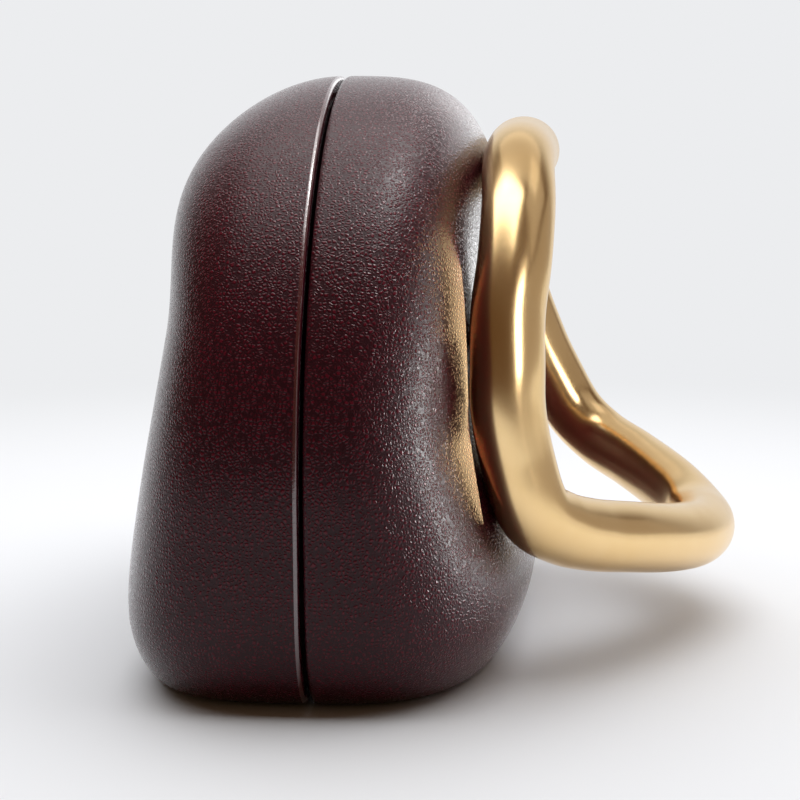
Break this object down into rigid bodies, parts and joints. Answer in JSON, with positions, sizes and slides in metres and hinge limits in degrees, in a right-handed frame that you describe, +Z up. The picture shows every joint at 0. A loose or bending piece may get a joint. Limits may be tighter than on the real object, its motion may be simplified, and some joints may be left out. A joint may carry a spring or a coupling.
{
  "type": "box clutch",
  "caption": "Hard pebble-shaped box clutch in leather that opens along a vertical split, with a bent metal ring handle as a hand loop.",
  "frame": {"origin": "on the resting plane, under the middle of the whole object with its handle", "axes": "+X out of the front face, where the handle is; +Y along the length; +Z up"},
  "size_m": [0.1256, 0.178, 0.1185],
  "materials": {
    "case_leather": "fine grained, semi-gloss burgundy",
    "handle_brass": "satin polished gold tone",
    "hidden_steel": "plain"
  },
  "bodies": {
    "back": {"back_shell": "case_leather", "hinge_pin": "hidden_steel"},
    "front": {"front_shell": "case_leather", "handle": "handle_brass", "handle_post_near": "handle_brass", "handle_post_far": "handle_brass", "clasp": "hidden_steel"}
  },
  "joints": [
    {"name": "case_hinge", "type": "hinge", "parent": "back", "child": "front", "pos_m": [-0.02305, 0, 0.0015], "axis": [0, 1, 0], "range_deg": [0, 75]}
  ]
}
